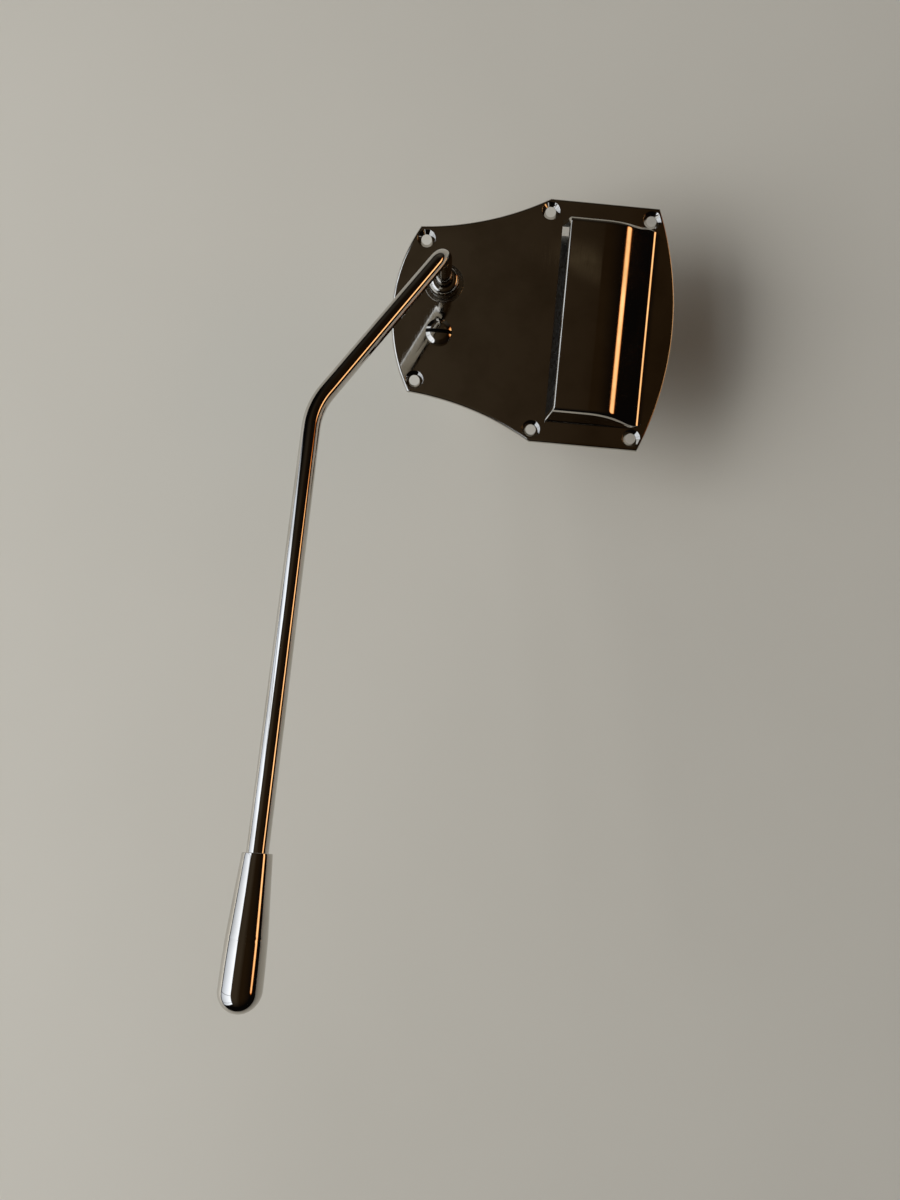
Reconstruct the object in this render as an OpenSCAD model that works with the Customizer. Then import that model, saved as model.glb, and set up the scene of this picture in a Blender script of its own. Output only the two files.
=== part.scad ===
// Floating vibrato tailpiece with arm, for an offset electric guitar.
// A screwed-down plate with a pressed hood carries a knife-edge rocker. The arm tips the rocker
// against a coil spring, which moves the string anchor inside the hood.
// Frame: +Z is the outward normal of the plate, +X points to the hood end, z = 0 is the seating face.
// The origin is the centre of the four rear screw holes.

/* [Plate outline] */
// Thickness of the top plate
plate_t = 1.5; // [1.2:0.1:2]
// Widest width, across the hood end
plate_w = 85.8; // [80:0.2:105]
// Width at the corners of the narrow end
neck_w = 58.4; // [52:0.2:72]
// Distance from the origin to the corners of the narrow end
neck_x = 63.2; // [60:0.2:80]
// Distance from the origin to the front corners of the wide end
shoulder_x = 18.3; // [17:0.1:24]
// Distance from the origin to the rear corners
rear_x = 20.5; // [20:0.1:26]
// How far the narrow end bows outwards
neck_bulge = 7.9; // [4:0.1:10]
// How far the hood end bows outwards
rear_bulge = 8.8; // [6:0.1:12]
// How far each waist side bows inwards
waist_sag = 2.6; // [1:0.1:4]

/* [Screw holes] */
// Spacing of the rear holes along the plate
rear_hole_dx = 35.9; // [34:0.1:37]
// Spacing of the rear holes across the plate
rear_hole_dy = 76.9; // [72:0.1:78]
// Distance from the origin to the two narrow end holes
neck_hole_x = 60.9; // [58:0.1:62]
// Spacing of the two narrow end holes
neck_hole_dy = 49.6; // [45:0.1:52]
// Diameter of a screw hole
screw_hole_d = 4; // [3.5:0.1:4.5]
// Diameter of a countersink at the top face
countersink_d = 6.3; // [5.5:0.1:7]
// Depth of a countersink
countersink_depth = 1.1; // [0.8:0.1:1.2]

/* [Hood] */
// Distance from the origin forwards to the hood's open front
hood_front_x = 13.4; // [12:0.1:16]
// How far the rim leans back from the foot of the opening
rim_lean = 1.7; // [0.5:0.1:3]
// Height of the hood above the plate
hood_h = 10.3; // [9.5:0.1:13]
// Width of the hood at its foot
hood_w = 70.2; // [66:0.1:85]
// How far each end wall leans in over the hood's height
end_lean = 2.1; // [0.4:0.1:3]
// Radius of the end walls' top edges
hood_edge_r = 1.5; // [0.8:0.1:1.8]
// Distance from the origin back to the foot of the rear slope
hood_rear_x = 22.4; // [21:0.1:24]
// Angle of the rear slope
slope_angle = 35; // [28:1:38]
// Radius of the shoulder between roof and slope
shoulder_r = 18; // [12:0.5:20]
// Radius of the fillet at the foot of the slope
foot_r = 4; // [3:0.5:6]
// Radius of the hood's two rear corners in plan
plan_r = 7; // [4:0.5:9]
// Thickness of the pressed hood's wall
hood_wall = 1.3; // [1:0.1:1.4]

/* [Fulcrum] */
// Distance from the origin to the knife edge
pivot_x = 17; // [16:0.5:20]
// Depth of the knife edge below the seating face
pivot_depth = 5.6; // [5.4:0.1:7]
// Thickness of the fulcrum bracket
bracket_t = 2; // [1.5:0.1:2.4]
// Length of the fulcrum bracket along the plate
bracket_len = 11; // [8:0.5:12]
// Width of the fulcrum bracket across the plate
bracket_w = 52; // [46:1:56]
// Thickness of the hardened blade
blade_t = 2; // [1.5:0.1:2.5]
// Included angle of the blade's edge
blade_angle = 50; // [40:1:60]
// Included angle of the groove that the blade sits in
groove_angle = 100; // [90:1:110]
// Diameter of a rivet shank
rivet_d = 3; // [2.5:0.1:3.5]
// Number of rivets
rivet_count = 4; // [3:1:5]

/* [Rocker] */
// Thickness of the rocker plate
rocker_t = 3; // [2.5:0.1:3.5]
// Width of the rocker at the arm end
rocker_front_w = 38; // [36:1:42]
// Width of the rocker at the anchor end
rocker_rear_w = 65; // [56:1:66]
// How far the rocker reaches past the collet's centre
rocker_nose = 10.5; // [9:0.5:12]
// Distance from the origin back to the rocker's rear end
rocker_rear_x = 11; // [9:0.5:12]

/* [String anchor] */
// Thickness of the string anchor
anchor_t = 2; // [1.5:0.1:2.5]
// Width of the string anchor
anchor_w = 63; // [54:0.5:65]
// Distance from the origin to the anchor's front face
anchor_x = 7.6; // [6:0.1:8]
// Height of the anchor above the seating face
anchor_top = 7.8; // [7:0.1:8.2]
// Number of strings
string_count = 6; // [6:1:6]
// Distance between neighbouring strings
string_pitch = 10.4; // [9.5:0.1:10.6]
// Width of a string slot
slot_w = 1.6; // [1.4:0.1:2]
// Diameter of the seat at the bottom of a string slot
seat_d = 3; // [2.4:0.1:3.6]
// Number of screws in the anchor's foot
anchor_screw_count = 5; // [4:1:6]
// Diameter of an anchor screw
anchor_screw_d = 3; // [2.5:0.1:3.5]

/* [Arm socket] */
// Distance from the origin to the arm's axis
collet_x = 53.4; // [52:0.1:54]
// Offset of the arm's axis from the centre line
collet_y = 9.9; // [9:0.1:11]
// Clearance hole for the socket in the plate
socket_hole_d = 13.6; // [13:0.1:15]
// Diameter of the domed cap
cap_d = 10.6; // [10:0.1:11]
// Height of the domed cap above the plate
cap_h = 4.6; // [3.5:0.1:6]
// Radius of the cap's rounded shoulder
cap_round = 2; // [1:0.1:2.2]
// Diameter of the socket's thread
socket_d = 9; // [8.6:0.1:9.2]
// Diameter of the socket's shoulder under the plate
shoulder_d = 15.6; // [15.2:0.1:16]
// Width across flats of the socket's nut
socket_nut_af = 13; // [12:0.1:13.5]
// Height of the socket's nut
socket_nut_h = 4; // [3:0.1:5]
// Outer diameter of the flat washer under the rocker
washer_d = 14.6; // [13:0.1:16]
// Thickness of the flat washer
washer_t = 1; // [0.8:0.1:1.5]
// Outer diameter of the split washer
lock_washer_d = 13.4; // [12:0.1:14]
// Thickness of the split washer
lock_washer_t = 1.2; // [1:0.1:1.6]
// Wall of the nylon sleeve round the arm
sleeve_wall = 0.8; // [0.6:0.1:0.9]

/* [Arm] */
// Diameter of the arm's rod
rod_d = 5.55; // [5:0.05:6]
// Height of the upper bend's corner above the plate
arm_rise = 26.6; // [22:0.1:40]
// Direction of the first limb in plan
limb1_azimuth = 239.65; // [0:0.05:360]
// Climb of the first limb
limb1_climb = 20.2; // [15:0.1:25]
// Length of the first limb between its corners
limb1_len = 70.4; // [50:0.1:90]
// Direction of the second limb in plan
limb2_azimuth = 271.5; // [0:0.05:360]
// Climb of the second limb
limb2_climb = 20.5; // [15:0.1:25]
// Length of the second limb from the corner to the tip's mouth
limb2_len = 125.8; // [90:0.1:160]
// Centre line radius of the upper bend
bend1_r = 6.5; // [5:0.5:9]
// Centre line radius of the knee
bend2_r = 26; // [15:1:40]

/* [Arm tip] */
// Length of the tip
tip_len = 36; // [32:0.5:45]
// Diameter of the tip at its mouth
tip_mouth_d = 7.6; // [7:0.1:8.4]
// Greatest diameter of the tip
tip_d = 10.6; // [10.3:0.1:13]
// Diameter of the tip where its taper ends
tip_taper_d = 10.2; // [9:0.1:10.3]
// Length of the tip's taper
tip_taper_len = 19.5; // [14:0.5:23]
// Depth of the rod's seat in the tip
tip_bore_depth = 16; // [12:0.5:20]

/* [Tension screw and spring] */
// Distance from the origin to the tension screw
tension_x = 53.7; // [53:0.1:54.5]
// Offset of the tension screw from the centre line, on the other side from the arm
tension_y = 7.6; // [7.2:0.1:8.5]
// Diameter of the tension screw
tension_d = 5; // [4:0.1:5.4]
// Diameter of its head
head_d = 9.2; // [8:0.1:10]
// Height of its head
head_h = 2.4; // [1.8:0.1:3]
// Width of the screwdriver slot
driver_slot_w = 1.3; // [1:0.1:1.6]
// Depth of the screwdriver slot
driver_slot_depth = 1.2; // [0.8:0.1:1.4]
// Outer diameter of the spring
spring_d = 14.6; // [13:0.1:15]
// Diameter of the spring's wire
wire_d = 1.8; // [1.4:0.1:2]
// Number of turns of the spring
spring_turns = 6.5; // [5:0.5:7]
// Installed length of the spring
spring_len = 19; // [18:0.5:22]
// Thickness of the spring's upper seat
seat_t = 1; // [0.8:0.1:1.5]
// Thickness of the spring cup's floor
cup_t = 1.2; // [0.8:0.1:1.5]
// Height of the spring cup's rim
cup_rim_h = 2.5; // [1.5:0.1:3]
// Play of the spring inside the cup, on the diameter
cup_play = 0.4; // [0.2:0.1:0.8]
// Width across flats of the tension nut
tension_nut_af = 8; // [8:0.1:10]
// Height of the tension nut
tension_nut_h = 3.6; // [3:0.1:4.5]

/* [Clearances] */
// Gap between a fixed face and a face that moves past it
face_gap = 0.1; // [0.05:0.05:0.3]
// Radial clearance of a running fit
running_gap = 0.04; // [0.02:0.01:0.08]
// Radial gap of a hole that a moving piece swings in
swing_gap = 1.5; // [1.4:0.1:2]
// Gap between the spring and the faces that it bears on
spring_gap = 0.05; // [0.02:0.01:0.1]

/* [Hidden] */
$fn = 96;
eps = 0.01;

chrome = "#b9b6b0";
zinc = "#8f9296";
steel = "#6f7175";
nylon = "#d8d4c6";

// Radius of an arc with a given half chord and rise
function arc_r(half_chord, rise) = (half_chord * half_chord + rise * rise) / (2 * rise);

// Plate
neck_r = arc_r(neck_w / 2, neck_bulge);
rear_r = arc_r(plate_w / 2, rear_bulge);
waist_dx = neck_x - shoulder_x;
waist_dy = (plate_w - neck_w) / 2;
waist_chord = norm([waist_dx, waist_dy]);
waist_r = arc_r(waist_chord / 2, waist_sag);
waist_normal = [-waist_dy, waist_dx] / waist_chord;
waist_mid = [-(neck_x + shoulder_x) / 2, (neck_w + plate_w) / 4];
waist_centre = waist_mid + waist_normal * (waist_r - waist_sag);

// Hood, with heights measured from the seating face
roof_z = plate_t + hood_h;
slope_drop = hood_h - (shoulder_r + foot_r) * (1 - cos(slope_angle));
slope_run = slope_drop / tan(slope_angle);
roof_end_x = hood_rear_x - (shoulder_r + foot_r) * sin(slope_angle) - slope_run;
// The foot's fillet runs this far into the plate, so that the two surfaces cross
foot_sink = 0.03;
arc_steps = 10;

// Fulcrum and rocker
groove_depth = 1.4;
rocker_top = -(pivot_depth - groove_depth + face_gap);
rocker_bottom = rocker_top - rocker_t;
bracket_front_x = -pivot_x + blade_t / 2 - bracket_len;

// Arm socket
socket_bore_r = rod_d / 2 + running_gap + sleeve_wall;
socket_stick_out = 0.8;
nut_z_socket = rocker_bottom - washer_t - lock_washer_t - socket_nut_h;
socket_end_z = nut_z_socket - socket_stick_out;
cap_top = plate_t + cap_h;
stub_bottom = socket_end_z + 2;

// Arm centre line: corners of the two limbs
function heading(azimuth, climb) =
    [cos(climb) * cos(azimuth), cos(climb) * sin(azimuth), sin(climb)];
up = [0, 0, 1];
limb1 = heading(limb1_azimuth, limb1_climb);
limb2 = heading(limb2_azimuth, limb2_climb);
corner1 = [-collet_x, collet_y, plate_t + arm_rise];
corner2 = corner1 + limb1 * limb1_len;
tip_mouth = corner2 + limb2 * limb2_len;
function turn_angle(a, b) = acos(a * b);
bend1_tangent = bend1_r * tan(turn_angle(up, limb1) / 2);
bend2_tangent = bend2_r * tan(turn_angle(limb1, limb2) / 2);

// The rod swells a hair where it is bent, and its straight lengths run into the bends
bend_swell = 0.06;
bend_lap = 0.4;

// Tension screw stack
seat_z = rocker_bottom - seat_t;
spring_top = seat_z - spring_gap;
spring_bottom = spring_top - spring_len;
cup_z = spring_bottom - spring_gap;
nut_z = cup_z - cup_t;
screw_end_z = nut_z - tension_nut_h - 0.6;
screw_hole_r = tension_d / 2 + swing_gap;

// --- shared shapes ---

// Turns local +Z to a direction, then rolls so that local +X leans towards another direction
module along(dir, towards) {
    tilt = acos(dir[2]);
    spin = atan2(dir[1], dir[0]);
    x_axis = [cos(tilt) * cos(spin), cos(tilt) * sin(spin), -sin(tilt)];
    y_axis = [-sin(spin), cos(spin), 0];
    rotate([0, tilt, spin]) rotate([0, 0, atan2(towards * y_axis, towards * x_axis)]) children();
}

// Round bar between two points
module bar(a, b, d) {
    dir = (b - a) / norm(b - a);
    translate(a) rotate([0, acos(dir[2]), atan2(dir[1], dir[0])]) cylinder(h = norm(b - a), d = d);
}

// Round bend that starts at a point, leaves along dir and turns towards another direction
module elbow(start, dir, towards, radius, angle, d) {
    translate(start) along(dir, towards)
        translate([radius, 0, 0]) rotate([90, 0, 0]) rotate([0, 0, 180 - angle])
            rotate_extrude(angle = angle) translate([radius, 0]) circle(d = d);
}

module ring(outer_d, inner_d, h) {
    difference() {
        cylinder(h = h, d = outer_d);
        translate([0, 0, -1]) cylinder(h = h + 2, d = inner_d);
    }
}

module hex(af, h) {
    cylinder(h = h, d = af / cos(30), $fn = 6);
}

module at_socket(z) {
    translate([-collet_x, collet_y, z]) children();
}

module at_tension(z) {
    translate([-tension_x, -tension_y, z]) children();
}

// --- plate and hood ---

module plate_outline() {
    difference() {
        intersection() {
            translate([-neck_x - neck_bulge - 1, -plate_w / 2])
                square([neck_x + neck_bulge + rear_x + rear_bulge + 2, plate_w]);
            translate([neck_r - neck_x - neck_bulge, 0]) circle(r = neck_r);
            translate([rear_x + rear_bulge - rear_r, 0]) circle(r = rear_r);
        }
        for (side = [-1, 1])
            translate([waist_centre[0], side * waist_centre[1]]) circle(r = waist_r);
    }
}

// Points along an arc
function arc(centre, r, from, to, steps) =
    [for (i = [0 : steps]) let (a = from + (to - from) * i / steps) centre + r * [cos(a), sin(a)]];

// Side profile of the hood in x and z, shrunk by a wall, with a front that leans back
module hood_side(wall, lean) {
    low = plate_t - wall - 3;
    polygon(concat(
        [[-hood_front_x, low], [-hood_front_x, plate_t], [-hood_front_x + lean, roof_z - wall]],
        arc([roof_end_x, roof_z - shoulder_r], shoulder_r - wall, 90, 90 - slope_angle, arc_steps),
        arc([hood_rear_x, plate_t + foot_r - foot_sink], foot_r + wall, 270 - slope_angle, 270, arc_steps),
        [[hood_rear_x, low]]
    ));
}

// End profile of the hood in y and z, shrunk by a wall
module hood_end(wall) {
    foot_y = hood_w / 2 - wall;
    top_z = roof_z - wall;
    edge = hood_edge_r;
    lean = atan(end_lean / hood_h);
    edge_y = foot_y - (edge + sin(lean) * (top_z - edge - plate_t)) / cos(lean);
    edge_z = top_z - edge;
    polygon(concat(
        [[-foot_y, plate_t - 4], [foot_y, plate_t - 4], [foot_y, plate_t]],
        arc([edge_y, edge_z], edge, lean, 90, arc_steps),
        arc([-edge_y, edge_z], edge, 90, 180 - lean, arc_steps),
        [[-foot_y, plate_t]]
    ));
}

// Plan of the hood with its rear corners rounded
module hood_plan(wall) {
    half = hood_w / 2 - wall;
    rear = hood_rear_x + 1;
    r = plan_r - wall;
    polygon(concat(
        [[-hood_front_x - 5, -half - 1], [rear - r, -half - 1], [rear - r, -half]],
        arc([rear - r, -half + r], r, 272, 360, arc_steps),
        arc([rear - r, half - r], r, 0, 88, arc_steps),
        [[rear - r, half], [rear - r, half + 1], [-hood_front_x - 5, half + 1]]
    ));
}

module hood_solid(wall, lean) {
    intersection() {
        translate([0, hood_w, 0]) rotate([90, 0, 0])
            linear_extrude(height = 2 * hood_w) hood_side(wall, lean);
        translate([-hood_front_x - 20, 0, 0]) rotate([90, 0, 90])
            linear_extrude(height = hood_front_x + hood_rear_x + 40) hood_end(wall);
        translate([0, 0, -5]) linear_extrude(height = roof_z + 10) hood_plan(wall);
    }
}

module screw_holes() {
    spots = concat(
        [for (sx = [-1, 1], sy = [-1, 1]) [sx * rear_hole_dx / 2, sy * rear_hole_dy / 2]],
        [for (sy = [-1, 1]) [-neck_hole_x, sy * neck_hole_dy / 2]]
    );
    for (spot = spots) translate([spot[0], spot[1], 0]) {
        translate([0, 0, -1]) cylinder(h = plate_t + 2, d = screw_hole_d);
        translate([0, 0, plate_t - countersink_depth])
            cylinder(h = countersink_depth + eps, d1 = screw_hole_d, d2 = countersink_d);
    }
}

// Depth of the blind rivet holes in the plate
rivet_blind = plate_t * 0.6;

module rivet_spots() {
    reach = bracket_w - 3 * rivet_d;
    for (i = [0 : rivet_count - 1])
        translate([-pivot_x - bracket_len / 2, reach * (i / (rivet_count - 1) - 0.5), 0]) children();
}

module mounting_plate() {
    color(chrome) difference() {
        union() {
            linear_extrude(height = plate_t) plate_outline();
            intersection() {
                hood_solid(0, rim_lean);
                translate([-hood_front_x, -hood_w, plate_t / 2])
                    cube([hood_front_x + hood_rear_x, 2 * hood_w, roof_z]);
            }
        }
        hood_solid(hood_wall, 0);
        screw_holes();
        at_socket(-1) cylinder(h = plate_t + 2, d = socket_hole_d);
        at_tension(-1) cylinder(h = plate_t + 2, r = tension_d / 2 + running_gap);
        rivet_spots() translate([0, 0, -1]) cylinder(h = rivet_blind + 1, d = rivet_d);
    }
}

// --- fulcrum ---

module fulcrum_bracket() {
    color(zinc) difference() {
        translate([bracket_front_x, -bracket_w / 2, -bracket_t]) cube([bracket_len, bracket_w, bracket_t]);
        rivet_spots() translate([0, 0, -bracket_t - 1]) cylinder(h = bracket_t + 2, d = rivet_d);
        blade_bar(bracket_t);
    }
}

// The blade's straight bar, as deep as given
module blade_bar(depth) {
    translate([-pivot_x - blade_t / 2, -bracket_w / 2 + 2, -depth - eps])
        cube([blade_t + 1, bracket_w - 4, depth + 1]);
}

module fulcrum_blade() {
    edge_h = blade_t / 2 / tan(blade_angle / 2);
    half = bracket_w / 2 - 2;
    color(steel) translate([-pivot_x, half, 0]) rotate([90, 0, 0])
        linear_extrude(height = 2 * half) polygon([
            [-blade_t / 2, 0], [-blade_t / 2, -pivot_depth + edge_h], [0, -pivot_depth],
            [blade_t / 2, -pivot_depth + edge_h], [blade_t / 2, 0]
        ]);
}

module bracket_rivets() {
    rivet_head_h = 1;
    color(steel) rivet_spots() {
        translate([0, 0, -bracket_t]) cylinder(h = bracket_t + rivet_blind, d = rivet_d);
        translate([0, 0, -bracket_t - rivet_head_h])
            cylinder(h = rivet_head_h, d1 = rivet_d * 1.3, d2 = rivet_d * 1.7);
    }
}

// --- rocker and string anchor ---

module rocker_outline() {
    nose = -collet_x - rocker_nose;
    round_r = 5;
    step_x = -pivot_x - 14;
    wide_x = -pivot_x - 6;
    front = rocker_front_w / 2;
    rear = rocker_rear_w / 2;
    union() {
        polygon([
            [nose, -front + round_r], [nose + round_r, -front],
            [step_x, -front], [wide_x, -rear], [rocker_rear_x, -rear],
            [rocker_rear_x, rear], [wide_x, rear], [step_x, front],
            [nose + round_r, front], [nose, front - round_r]
        ]);
        for (side = [-1, 1]) translate([nose + round_r, side * (front - round_r)]) circle(r = round_r);
    }
}

module anchor_screw_spots() {
    reach = anchor_w - 4 * anchor_screw_d;
    foot_mid = (-anchor_x + anchor_t + rocker_rear_x) / 2;
    for (i = [0 : anchor_screw_count - 1])
        translate([foot_mid, reach * (i / (anchor_screw_count - 1) - 0.5), 0]) children();
}

module rocker_plate() {
    groove_w = 2 * groove_depth * tan(groove_angle / 2);
    color(zinc) difference() {
        translate([0, 0, rocker_bottom]) linear_extrude(height = rocker_t) rocker_outline();
        translate([-pivot_x, rocker_rear_w, rocker_top]) rotate([90, 0, 0])
            linear_extrude(height = 2 * rocker_rear_w)
                polygon([[-groove_w, groove_depth], [0, -groove_depth], [groove_w, groove_depth]]);
        at_socket(rocker_bottom - 1) cylinder(h = rocker_t + 2, d = socket_d);
        at_tension(rocker_bottom - 1) cylinder(h = rocker_t + 2, r = screw_hole_r);
        anchor_screw_spots() translate([0, 0, rocker_bottom - 1])
            cylinder(h = rocker_t + 2, d = anchor_screw_d);
    }
}

module string_anchor() {
    web_h = 5.6;
    slot_depth = anchor_top - rocker_top - web_h;
    color(zinc) difference() {
        union() {
            translate([-anchor_x, -anchor_w / 2, rocker_top])
                cube([anchor_t, anchor_w, anchor_top - rocker_top]);
            translate([-anchor_x, -anchor_w / 2, rocker_top])
                cube([anchor_x + rocker_rear_x, anchor_w, anchor_t]);
        }
        for (i = [0 : string_count - 1])
            translate([-anchor_x - 1, (i - (string_count - 1) / 2) * string_pitch, anchor_top - slot_depth]) {
                translate([0, -slot_w / 2, 0]) cube([anchor_t + 2, slot_w, slot_depth + 1]);
                rotate([0, 90, 0]) cylinder(h = anchor_t + 2, d = seat_d);
            }
        anchor_screw_spots() translate([0, 0, rocker_top - 1]) cylinder(h = anchor_t + 2, d = anchor_screw_d);
    }
}

module anchor_screws() {
    cap_h_screw = 1.8;
    cap_d_screw = anchor_screw_d * 1.8;
    color(steel) anchor_screw_spots() difference() {
        union() {
            translate([0, 0, rocker_bottom]) cylinder(h = rocker_t + anchor_t, d = anchor_screw_d);
            translate([0, 0, rocker_top + anchor_t]) cylinder(h = cap_h_screw, d = cap_d_screw);
        }
        for (turn = [0, 90]) rotate([0, 0, turn])
            translate([-cap_d_screw / 3, -0.4, rocker_top + anchor_t + cap_h_screw / 2])
                cube([cap_d_screw / 1.5, 0.8, cap_h_screw]);
    }
}

// --- arm socket ---

// Top of the socket's thread inside the cap
neck_top = plate_t + 0.6;

module socket_body() {
    color(zinc) at_socket(0) difference() {
        union() {
            translate([0, 0, socket_end_z]) cylinder(h = neck_top - socket_end_z, d = socket_d);
            translate([0, 0, rocker_top]) cylinder(h = -face_gap - rocker_top, d = shoulder_d);
        }
        translate([0, 0, socket_end_z - 1]) cylinder(h = neck_top - socket_end_z + 2, r = socket_bore_r);
    }
}

// Domed chrome cap that closes the socket round the arm
module socket_cap() {
    skirt = 1.2;
    bottom = plate_t - skirt;
    color(chrome) at_socket(0) difference() {
        rotate_extrude() union() {
            translate([0, bottom]) square([cap_d / 2, cap_top - cap_round - bottom]);
            translate([0, bottom]) square([cap_d / 2 - cap_round, cap_top - bottom]);
            intersection() {
                translate([cap_d / 2 - cap_round, cap_top - cap_round]) circle(r = cap_round);
                square([cap_d / 2, cap_top]);
            }
        }
        translate([0, 0, bottom - 1]) cylinder(h = neck_top - bottom + 1, d = socket_d);
        translate([0, 0, bottom]) cylinder(h = cap_top, r = rod_d / 2 + running_gap);
    }
}

module arm_sleeve() {
    recess = 0.5;
    color(nylon) at_socket(socket_end_z + recess)
        ring(2 * socket_bore_r, rod_d + 2 * running_gap, neck_top - socket_end_z - recess);
}

module socket_washer() {
    color(zinc) at_socket(rocker_bottom - washer_t) ring(washer_d, socket_d, washer_t);
}

module socket_lock_washer() {
    split_w = 1.2;
    color(steel) at_socket(rocker_bottom - washer_t - lock_washer_t) difference() {
        ring(lock_washer_d, socket_d, lock_washer_t);
        rotate([0, 0, 35]) translate([0, -split_w / 2, -1]) cube([lock_washer_d, split_w, lock_washer_t + 2]);
    }
}

module socket_nut() {
    corner_d = socket_nut_af / cos(30);
    cone_h = 0.8;
    color(zinc) at_socket(nut_z_socket) difference() {
        intersection() {
            hex(socket_nut_af, socket_nut_h);
            union() {
                cylinder(h = socket_nut_h - cone_h, d = corner_d);
                translate([0, 0, socket_nut_h - cone_h])
                    cylinder(h = cone_h, d1 = corner_d, d2 = socket_nut_af - 0.6);
            }
        }
        translate([0, 0, -1]) cylinder(h = socket_nut_h + 2, d = socket_d);
    }
}

// --- spring and tension screw ---

module upper_spring_seat() {
    color(zinc) at_tension(seat_z) ring(spring_d + 1.2, 2 * screw_hole_r, seat_t);
}

// Points of a round wire wound on a helix whose end turns lie flat
module spring() {
    sides = 10;
    steps_per_turn = 16;
    coil_r = (spring_d - wire_d) / 2;
    steps = spring_turns * steps_per_turn;
    rise = spring_len - wire_d;
    dead = 0.9;
    function lift(turn) =
        let (t = min(max(turn - dead, 0), spring_turns - 2 * dead) / (spring_turns - 2 * dead))
        dead * wire_d * min(turn / dead, 1) + (rise - 2 * dead * wire_d) * t
        + dead * wire_d * min(max((turn - spring_turns + dead) / dead, 0), 1);
    rings = [for (i = [0 : steps]) [for (k = [0 : sides - 1])
        let (angle = 360 * i / steps_per_turn, around = 360 * k / sides,
             out = coil_r + wire_d / 2 * cos(around),
             z = wire_d / 2 + lift(i / steps_per_turn) + wire_d / 2 * sin(around))
        [out * cos(angle), out * sin(angle), z]]];
    points = [for (one = rings) for (p = one) p];
    sleeve = [for (i = [0 : steps - 1]) for (k = [0 : sides - 1])
        let (n = (k + 1) % sides)
        [i * sides + k, i * sides + n, (i + 1) * sides + n, (i + 1) * sides + k]];
    first = [for (k = [sides - 1 : -1 : 0]) k];
    last = [for (k = [0 : sides - 1]) steps * sides + k];
    color(steel) at_tension(spring_bottom) polyhedron(points, concat([first], sleeve, [last]), convexity = 8);
}

module lower_spring_cup() {
    color(zinc) at_tension(nut_z) difference() {
        cylinder(h = cup_t + cup_rim_h, d = spring_d + cup_play + 2 * cup_t);
        translate([0, 0, cup_t]) cylinder(h = cup_rim_h + 1, d = spring_d + cup_play);
        translate([0, 0, -1]) cylinder(h = cup_t + 2, r = tension_d / 2 + running_gap);
    }
}

module tension_nut() {
    color(zinc) at_tension(nut_z - tension_nut_h) difference() {
        hex(tension_nut_af, tension_nut_h);
        translate([0, 0, -1]) cylinder(h = tension_nut_h + 2, r = tension_d / 2 + running_gap);
    }
}

module tension_screw() {
    under = plate_t + face_gap / 2;
    chamfer = 0.7;
    color(chrome) at_tension(0) difference() {
        union() {
            translate([0, 0, screw_end_z]) cylinder(h = under - screw_end_z, d = tension_d);
            translate([0, 0, under]) cylinder(h = head_h - chamfer, d = head_d);
            translate([0, 0, under + head_h - chamfer])
                cylinder(h = chamfer, d1 = head_d, d2 = head_d - 2 * chamfer);
        }
        translate([-head_d, -driver_slot_w / 2, under + head_h - driver_slot_depth])
            cube([2 * head_d, driver_slot_w, driver_slot_depth + 1]);
    }
}

// --- arm ---

module arm_rod() {
    bend1_start = corner1 - up * bend1_tangent;
    bend1_end = corner1 + limb1 * bend1_tangent;
    bend2_start = corner2 - limb1 * bend2_tangent;
    bend2_end = corner2 + limb2 * bend2_tangent;
    bend_d = rod_d + bend_swell;
    color(chrome) union() {
        bar([-collet_x, collet_y, stub_bottom], bend1_start + up * bend_lap, rod_d);
        elbow(bend1_start, up, limb1, bend1_r, turn_angle(up, limb1), bend_d);
        bar(bend1_end - limb1 * bend_lap, bend2_start + limb1 * bend_lap, rod_d);
        elbow(bend2_start, limb1, limb2, bend2_r, turn_angle(limb1, limb2), bend_d);
        bar(bend2_end - limb2 * bend_lap, tip_mouth + limb2 * tip_bore_depth, rod_d);
    }
}

module arm_tip() {
    end_r = tip_d / 2;
    color(chrome) translate(tip_mouth) along(limb2, up) difference() {
        rotate_extrude() union() {
            polygon([
                [0, 0], [tip_mouth_d / 2, 0], [tip_taper_d / 2, tip_taper_len],
                [tip_d / 2, tip_len - end_r], [0, tip_len - end_r]
            ]);
            intersection() {
                translate([0, tip_len - end_r]) circle(r = end_r);
                translate([0, tip_len - end_r - 1]) square([end_r, end_r + 1]);
            }
        }
        translate([0, 0, -1]) cylinder(h = tip_bore_depth + 1, d = rod_d);
    }
}

mounting_plate();
fulcrum_bracket();
fulcrum_blade();
bracket_rivets();
rocker_plate();
string_anchor();
anchor_screws();
socket_body();
socket_cap();
arm_sleeve();
socket_washer();
socket_lock_washer();
socket_nut();
upper_spring_seat();
spring();
lower_spring_cup();
tension_nut();
tension_screw();
arm_rod();
arm_tip();
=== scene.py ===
# %% [markdown]
# # A floating vibrato tailpiece in chrome
# The part is the tailpiece of an offset electric guitar: a screwed-down plate with a pressed hood,
# a rocker on a knife edge under it, a spring, and a long bent arm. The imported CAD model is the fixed
# frame. This script puts finished surfaces where the CAD pieces are, and never moves them.

# %% Load the frame
import math

import bmesh
import bpy
import numpy as np
from mathutils import Euler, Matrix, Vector
from mathutils.geometry import tessellate_polygon


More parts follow.
